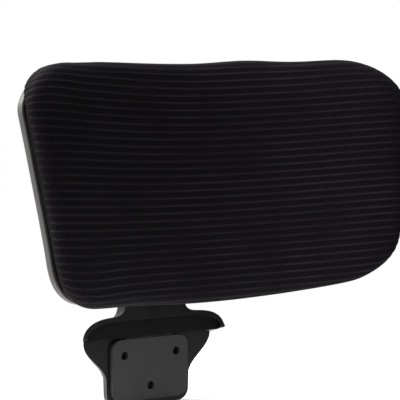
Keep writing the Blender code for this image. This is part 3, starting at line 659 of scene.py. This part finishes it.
def cylinders(name, places):
    """One mesh of round plugs, as a cutting tool: (foot, direction, radius, length) of each."""
    work = bmesh.new()
    for foot, direction, radius, length in places:
        turn = Vector(direction).to_track_quat("Z", "Y").to_matrix().to_4x4()
        middle = Vector(foot) + Vector(direction).normalized() * length / 2
        size = {"segments": 32, "radius1": radius, "radius2": radius, "depth": length}
        bmesh.ops.create_cone(work, cap_ends=True, matrix=Matrix.Translation(middle) @ turn, **size)
    data = bpy.data.meshes.new(name)
    work.to_mesh(data)
    work.free()
    tool = bpy.data.objects.new(name, data)
    bpy.context.scene.collection.objects.link(tool)
    return tool


def rods(name, radius, spans):
    """Plugs on the neck's middle line, by (height, start, end) of each, in millimetres."""
    way = (0, 1, 0)
    return cylinders(name, [
        ((0, start * MM, z * MM), way, radius * MM, (end - start) * MM) for z, start, end in spans
    ])


def combine(piece, tool, operation):
    """A Boolean, applied at once, whose tool is then removed."""
    modifier = piece.modifiers.new(operation, "BOOLEAN")
    modifier.operation = operation
    modifier.solver = "EXACT"
    modifier.object = tool
    apply_modifiers(piece)
    bpy.data.objects.remove(tool)


def apply_modifiers(piece):
    bpy.context.view_layer.update()
    evaluated = piece.evaluated_get(bpy.context.evaluated_depsgraph_get())
    done = bpy.data.meshes.new_from_object(evaluated)
    piece.modifiers.clear()
    piece.data = done


def shell_screw_places():
    """Four near the corners and two at the ends of the pad's middle line, in the flat pattern."""
    right = [*CORNER_SCREWS, (MIDDLE_SCREW, 0)]
    return np.array([(side * x, y) for x, y in right for side in (-1, 1)])


def make_shell(material):
    """The moulded shell: a shallow tray with a rounded rim and a raised seat for the bracket."""
    pad = PadMesh(*SHELL_GRID)
    depth, floor, edge = SHELL_DEPTH, SHELL_WALL - SHELL_DEPTH, SHELL_EDGE
    profile = [(RIM_WALL, floor), *RIM]
    for a in np.radians(np.linspace(0, 90, 9)):
        profile.append((edge - edge * math.cos(a), edge - depth - edge * math.sin(a)))
    rings = [pad.ring(inset, out, tucked=True) for inset, out in profile]
    pad.bands(rings)
    pad.cap(rings[0], floor)
    back = pad.total()
    pad.cap(rings[-1], -depth)
    flat, out, _ = pad.arrays()
    points = lifted(settled(flat), out)
    beyond = np.hypot(
        np.clip(np.abs(flat[:, 0]) - BOSS[0] + BOSS_CORNER, 0, None),
        np.clip(np.abs(flat[:, 1] - BOSS_MIDDLE) - BOSS[1] + BOSS_CORNER, 0, None),
    )
    share = smooth(1 - (beyond - BOSS_CORNER) / BOSS_FLANK)
    share[:back] = 0
    points[:, 2] = points[:, 2] * (1 - share) + BOSS_FACE * share
    shell = mesh_piece("rear_tray", in_world(points), pad.faces)

    feet = lifted(shell_screw_places(), -depth)
    inward = lifted(shell_screw_places(), 0) - feet
    turn = PAD_TO_WORLD.to_3x3()
    plugs = []
    for foot, way in zip(feet, inward):
        start = PAD_TO_WORLD @ Vector(foot - way * PLUG_START)
        plugs.append((start, turn @ Vector(way), PLUG_RADIUS, PLUG_LENGTH))
    combine(shell, cylinders("recess_tool", plugs), "DIFFERENCE")
    shell.data.shade_smooth()
    shell.data.set_sharp_from_angle(angle=SHELL_CRISP)
    finish_piece(shell, material, "rear_shell", "head")


def curve(p0, p1, p2, p3, steps=14):
    """Points on a cubic curve, without its last one."""
    t = np.linspace(0, 1, steps, endpoint=False)[:, None]
    weights = ((1 - t) ** 3, 3 * t * (1 - t) ** 2, 3 * t * t * (1 - t), t**3)
    return sum(w * np.array(p, float) for w, p in zip(weights, (p0, p1, p2, p3)))


def corner(x, z, radius, start, end, steps=6):
    angles = np.radians(np.linspace(start, end, steps + 1))
    return np.column_stack([x + radius * np.cos(angles), z + radius * np.sin(angles)])


def flared_side():
    """The covers' right side in millimetres: a straight neck that flares to a wing."""
    neck, top = NECK_HALF, NECK_TOP - NECK_CORNER
    return np.vstack([
        corner(neck - NECK_CORNER, top, NECK_CORNER, 90, 0),
        curve((neck, 80), (neck, 73), (neck, 62), (neck, 54), 8),
        curve((neck, 54), (neck, 48.6), (31, 45.9), (38, 45.4)),
        curve((38, 45.4), (49, 44.8), (62, 43.4), (WING_TIP, 31), 20),
        [(WING_TIP, 29)],
    ])


def swept_back(side, share=1.0):
    """The side further back: the wing drops and draws in towards the rail."""
    x, z = side.T
    flare = np.clip((53 - z) / 8, 0, 1) * share
    drawn = WING_DRAW * flare * np.clip((x - 29) / 30, 0, 1)
    return np.column_stack([x - drawn, z - WING_DROP * flare])


def drawn_in(side, depth):
    """The rear cover's side, at a depth in millimetres behind the front cover."""
    x, z = side.T
    share = np.clip((z - 6) / 22, 0, 1)
    return np.column_stack([x - depth * (0.06 + 0.6 * share), z])


def recess_side(drop):
    """The right side of the hollow under the wing, in millimetres."""
    arch = curve((34, 45.4 - drop), (46, 44.9 - drop), (59, 43.3 - drop), (62.4, 30))
    return np.vstack([[(24, 45.6 - drop)], arch, [(62.4, 20)]])


def closed(side, inset=0.0):
    """A closed outline from its right side, moved in square to itself."""
    loop = np.vstack([side, (side * (-1, 1))[::-1]])
    return loop - outward(loop) * inset


def solid(name, sections):
    """A closed solid through sections with as many points each, in millimetres."""
    count = len(sections[0])
    points = np.vstack(sections) * MM
    last = len(points) - count
    faces = [tuple(range(count)), tuple(range(last, len(points)))]
    for start in range(0, last, count):
        for k in range(count):
            one, after = start + k, start + (k + 1) % count
            faces.append((one, after, after + count, one + count))
    return mesh_piece(name, points, faces)


def loft(name, rings):
    """A solid through (depth, outline) rings, from front to back."""
    return solid(name, [np.column_stack([o[:, 0], np.full(len(o), y), o[:, 1]]) for y, o in rings])


def rounding(piece, width, segments, angle):
    bevel = piece.modifiers.new("Ease", "BEVEL")
    bevel.width = width
    bevel.segments = segments
    bevel.limit_method = "ANGLE"
    bevel.angle_limit = math.radians(angle)


def ease(piece, width):
    """Rounds the sharp edges that are left, and sets the shading."""
    rounding(piece, width, segments=3, angle=35)
    apply_modifiers(piece)
    piece.data.shade_smooth()
    piece.data.set_sharp_from_angle(angle=COVER_CRISP)
    even_normals(piece)


def even_normals(piece):
    """Shades the flat faces flat, and leaves the roundness to the eased edges."""
    normals = piece.modifiers.new("Normals", "WEIGHTED_NORMAL")
    normals.keep_sharp = True


def make_front_cover(material):
    """The flared cover on the neck's front, hollow behind, with a recess under each wing."""
    front, back, fillet = FRONT_COVER
    angles = np.radians(np.linspace(0, 90, COVER_STEPS))
    edge = [(front + fillet * (1 - math.cos(a)), fillet * (1 - math.sin(a))) for a in angles]
    straight = [(y, 0) for y in np.linspace(front + fillet + 1, back, COVER_STEPS)]
    rings = []
    for y, inset in edge + straight:
        swept = swept_back(flared_side(), (y - front) / (back - front))
        rings.append((y, closed(swept, inset)))
    cover = loft("neck_cover_front", rings)
    mouth = closed(recess_side(MOUTH_DROP))
    combine(cover, loft("mouth_tool", [(front - 2, mouth), (RECESS_FLOOR, mouth)]), "DIFFERENCE")
    hollow = closed(swept_back(recess_side(HOLLOW_DROP)) - (HOLLOW_WALL, 0))
    combine(cover, loft("hollow_tool", [(HOLLOW_FRONT, hollow), (HOLLOW_BACK, hollow)]), "DIFFERENCE")
    core = [np.column_stack([np.full(len(CORE_SIDE), x), CORE_SIDE]) for x in (-CORE_HALF, CORE_HALF)]
    combine(cover, solid("core_tool", core), "DIFFERENCE")
    ease(cover, FRONT_EASE)
    finish_piece(cover, material, "front_cover", "base")


def make_rear_cover(material):
    """The drafted cover over the foot's screws, with a boss for each of its own two screws."""
    front, back, fillet = REAR_COVER
    wall = REAR_WALL
    foot_side = np.vstack([
        curve((59, 25.2), (59.5, 13), (46, 8), (39, -4))[1:],
        [(38.4, -6), (38, -20)],
        corner(28, -20, 10, -8, -90),
    ])
    side = np.vstack([swept_back(flared_side()), foot_side])
    straight = [(y, 0) for y in np.linspace(front, back - fillet, 6)]
    angles = np.radians(np.linspace(15, 90, 6))
    edge = [(back - fillet + fillet * math.sin(a), fillet * (1 - math.cos(a))) for a in angles]
    rings = [(y, closed(drawn_in(side, y - front), inset)) for y, inset in straight + edge]
    cover = loft("neck_cover_rear", rings)
    open_top = np.vstack([[(CORE_HALF + wall, 92), (CORE_HALF + wall, 91)], side[8:]])
    room = [(y, closed(drawn_in(open_top, y - front), wall)) for y in (front - 2, back - wall)]
    combine(cover, loft("room_tool", room), "DIFFERENCE")
    bosses = [(z, meets + 0.3, back - 1) for z, meets in COVER_SCREWS]
    combine(cover, rods("boss_tool", BOSS_RADIUS, bosses), "UNION")
    holes = [(z, 0, 20) for z, _ in COVER_SCREWS]
    combine(cover, rods("hole_tool", HOLE_RADIUS, holes), "DIFFERENCE")
    sinks = [(z, back - wall, back - wall + 5) for z, _ in COVER_SCREWS]
    combine(cover, rods("sink_tool", SINK_RADIUS, sinks), "DIFFERENCE")
    ease(cover, REAR_EASE)
    finish_piece(cover, material, "rear_cover", "base")


def finish_piece(piece, material, node, body):
    paint(piece, material)
    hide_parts(node)
    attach(piece, body)


def smooth_by_angle(limit):
    """A modifier's node group: smooth shading, with the edges sharper than a limit kept crisp."""
    tree = bpy.data.node_groups.new("smooth_by_angle", "GeometryNodeTree")
    for way in ("INPUT", "OUTPUT"):
        tree.interface.new_socket("Geometry", in_out=way, socket_type="NodeSocketGeometry")
    start, end = tree.nodes.new("NodeGroupInput"), tree.nodes.new("NodeGroupOutput")
    faces, edges = (tree.nodes.new("GeometryNodeSetShadeSmooth") for _ in range(2))
    edges.domain = "EDGE"
    angle = tree.nodes.new("GeometryNodeInputMeshEdgeAngle")
    compare = tree.nodes.new("FunctionNodeCompare")
    compare.operation = "LESS_THAN"
    compare.inputs[1].default_value = limit
    tree.links.new(angle.outputs[0], compare.inputs[0])
    tree.links.new(compare.outputs[0], edges.inputs["Shade Smooth"])
    tree.links.new(start.outputs[0], faces.inputs["Geometry"])
    tree.links.new(faces.outputs[0], edges.inputs["Geometry"])
    tree.links.new(edges.outputs[0], end.inputs[0])
    return tree


def finish_cad(node, material, width, shading):
    """Keeps a CAD node, with its edges eased and its own finish."""
    piece = frame["nodes"][node]
    paint(piece, material)
    weld = piece.modifiers.new("Weld", "WELD")
    weld.merge_threshold = WELD_GAP
    rounding(piece, width, segments=2, angle=40)
    piece.modifiers.new("Shading", "NODES").node_group = shading
    even_normals(piece)


def finish_nodes():
    finishes = {name: plastic(name, **look) for name, look in PLASTICS.items()}
    finishes.update({name: metal(name, *look) for name, look in METALS.items()})
    make_shell(finishes["grey_plastic"])
    # The front cover's plastic, with painted shade in its recess.
    make_front_cover(plastic("dark_plastic_recess_shade", recess=True, **PLASTICS["dark_plastic"]))
    make_rear_cover(finishes["dark_plastic"])
    shading = smooth_by_angle(CAD_CRISP)
    for part in frame["record"]["subparts"]:
        node = part["node"]
        if node not in REMADE:
            small = "screw" in node or "washer" in node
            width = SMALL_EASE if small else CAD_EASE
            finish_cad(node, finishes[part["material_slot"]], width, shading)


# ---------------------------------------------------------------- studio


def make_floor():
    low = cad_box[0]
    turns = np.linspace(0, 2 * math.pi, FLOOR_SIDES, endpoint=False)
    rim = np.column_stack([np.cos(turns), np.sin(turns)]) * FLOOR_RADIUS
    points = np.column_stack([rim, np.full(len(turns), low.z - MM)])
    floor = mesh_piece("studio_floor", points, [tuple(range(len(turns)))])
    shader = Shader("floor", Roughness=0.9)
    shader.main.inputs["Base Color"].default_value = (0.92, 0.92, 0.92, 1)
    shader.main.inputs["Emission Color"].default_value = (1, 1, 1, 1)
    shader.main.inputs["Emission Strength"].default_value = FLOOR_GLOW
    paint(floor, shader.material)


def area_light(name, place, width, power):
    """A square lamp that faces the tilt axis."""
    data = bpy.data.lights.new(name, "AREA")
    data.size = width
    data.energy = power
    lamp = bpy.data.objects.new(name, data)
    lamp.location = place
    lamp.rotation_mode = "QUATERNION"
    lamp.rotation_quaternion = (TILT_AXIS - Vector(place)).to_track_quat("-Z", "Y")
    bpy.context.scene.collection.objects.link(lamp)


def make_studio():
    """A white room: bright behind the object, dim in front of it, with three soft lamps."""
    world = bpy.data.worlds.new("studio")
    world.use_nodes = True
    tree = world.node_tree
    place = tree.nodes.new("ShaderNodeTexCoord")
    towards = tree.nodes.new("ShaderNodeVectorMath")
    towards.operation = "DOT_PRODUCT"
    towards.inputs[1].default_value = BRIGHT_WAY
    depth = tree.nodes.new("ShaderNodeMapRange")
    depth.interpolation_type = "SMOOTHSTEP"
    for socket, value in zip(("From Min", "From Max"), ROOM_FADE):
        depth.inputs[socket].default_value = value
    depth.inputs["To Min"].default_value = ROOM_FRONT
    depth.inputs["To Max"].default_value = ROOM_BACK
    path = tree.nodes.new("ShaderNodeLightPath")
    shown = tree.nodes.new("ShaderNodeMath")
    shown.operation = "MAXIMUM"
    tree.links.new(place.outputs["Generated"], towards.inputs[0])
    tree.links.new(towards.outputs["Value"], depth.inputs["Value"])
    tree.links.new(depth.outputs[0], shown.inputs[0])
    tree.links.new(path.outputs["Is Camera Ray"], shown.inputs[1])
    tree.links.new(shown.outputs[0], tree.nodes["Background"].inputs["Strength"])
    tree.nodes["Background"].inputs["Color"].default_value = (1, 1, 1, 1)
    bpy.context.scene.world = world
    for lamp in LAMPS:
        area_light(*lamp)
    bpy.context.scene.view_settings.view_transform = "Standard"


def make_camera():
    data = bpy.data.cameras.new("camera")
    data.lens = LENS
    data.sensor_width = SENSOR
    camera = bpy.data.objects.new("camera", data)
    bpy.context.scene.collection.objects.link(camera)
    a, e = VIEW_AZIMUTH, VIEW_ELEVATION
    back = Vector((math.sin(a) * math.cos(e), -math.cos(a) * math.cos(e), math.sin(e)))
    target = PAD_TO_WORLD @ Vector((*VIEW_TARGET, 0))
    camera.location = target + back * VIEW_DISTANCE
    camera.rotation_mode = "QUATERNION"
    camera.rotation_quaternion = back.to_track_quat("Z", "Y")
    bpy.context.scene.camera = camera


make_camera()
make_studio()
make_floor()
finish_nodes()
make_foam()
make_cover()
